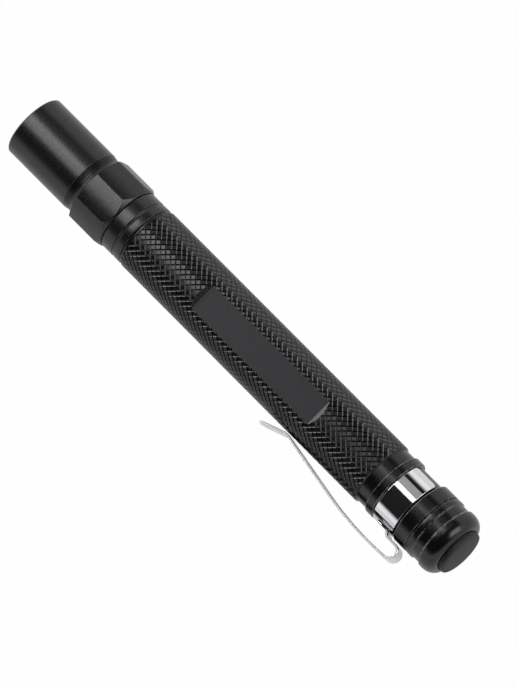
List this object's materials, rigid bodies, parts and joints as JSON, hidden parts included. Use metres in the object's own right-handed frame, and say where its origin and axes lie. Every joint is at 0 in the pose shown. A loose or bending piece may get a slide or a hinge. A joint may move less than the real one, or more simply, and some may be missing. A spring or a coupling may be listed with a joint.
{
  "type": "penlight",
  "caption": "Slim black aluminium penlight with an octagon screw-on head, knurled grip with a bare nameplate flat, swivelling folded chrome pocket clip and push-button screw-on tail cap.",
  "frame": {"origin": "centre of the light opening, in the plane of the front rim", "axes": "+X along the beam, out of the lens; +Z square to the nameplate flat; +Y towards the clip"},
  "size_m": [0.1302, 0.0198, 0.0158],
  "materials": {
    "black_anodised": "satin black anodised aluminium",
    "seal_rubber": "black nitrile rubber",
    "lens_glass": "clear polished glass",
    "reflector_bright": "bright vapour-coated aluminium",
    "white_plastic": "white moulded plastic",
    "phosphor": "clear dome over yellow phosphor",
    "board_white": "white solder mask",
    "lead_red": "red wire insulation",
    "brass": "turned brass",
    "spring_gold": "gold-flashed spring wire",
    "spring_steel": "plain spring steel",
    "board_green": "green solder mask",
    "ferrite": "dark grey ferrite",
    "cell_steel": null,
    "cell_jacket": "plain shrink jacket",
    "clip_chrome": "polished chromed spring steel",
    "button_rubber": "matt dark grey rubber",
    "black_plastic": "black moulded plastic"
  },
  "bodies": {
    "barrel": {"barrel": "black_anodised", "head_oring": "seal_rubber", "tail_oring": "seal_rubber", "front_cell": "cell_steel", "front_cell_jacket": "cell_jacket", "rear_cell": "cell_steel", "rear_cell_jacket": "cell_jacket"},
    "light_engine": {"lens_seal": "seal_rubber", "lens": "lens_glass", "reflector": "reflector_bright", "led_gasket": "white_plastic", "led_emitter": "phosphor", "led_board": "board_white", "led_leads": "lead_red", "led_pill": "brass", "driver_board": "board_green", "driver_inductor": "ferrite", "contact_spring": "spring_gold"},
    "head": {"head_shell": "black_anodised"},
    "clip": {"pocket_clip": "clip_chrome"},
    "switch_core": {"switch_housing": "black_plastic", "switch_board": "board_green", "switch_terminals": "brass", "switch_spring": "spring_steel", "tail_spring": "spring_gold"},
    "tail_cap": {"tail_cap": "black_anodised", "switch_retainer": "brass"},
    "button": {"push_button": "button_rubber", "switch_plunger": "white_plastic"}
  },
  "joints": [
    {"name": "head_travel", "type": "slide", "parent": "barrel", "child": "light_engine", "axis": [1, 0, 0], "range_m": [0, 0.004]},
    {"name": "head_turn", "type": "hinge", "parent": "light_engine", "child": "head", "pos_m": [-0.0238, 0, 0], "axis": [1, 0, 0], "range_deg": [0, 1440]},
    {"name": "tail_cap_travel", "type": "slide", "parent": "barrel", "child": "switch_core", "axis": [-1, 0, 0], "range_m": [0, 0.004]},
    {"name": "tail_cap_turn", "type": "hinge", "parent": "switch_core", "child": "tail_cap", "pos_m": [-0.1229, 0, 0], "axis": [-1, 0, 0], "range_deg": [0, 1440]},
    {"name": "button_press", "type": "slide", "parent": "switch_core", "child": "button", "axis": [1, 0, 0], "range_m": [0, 0.0015], "stiffness_N_per_m": 1500, "springref_m": -0.001, "deforming": ["switch_spring"]},
    {"name": "clip_swivel", "type": "hinge", "parent": "barrel", "child": "clip", "pos_m": [-0.11415, 0, 0], "axis": [1, 0, 0], "continuous": true}
  ],
  "couplings": [
    {"joint": "head_travel", "follows": "head_turn", "m_per_rad": 0.00015915},
    {"joint": "tail_cap_travel", "follows": "tail_cap_turn", "m_per_rad": 0.00015915}
  ]
}
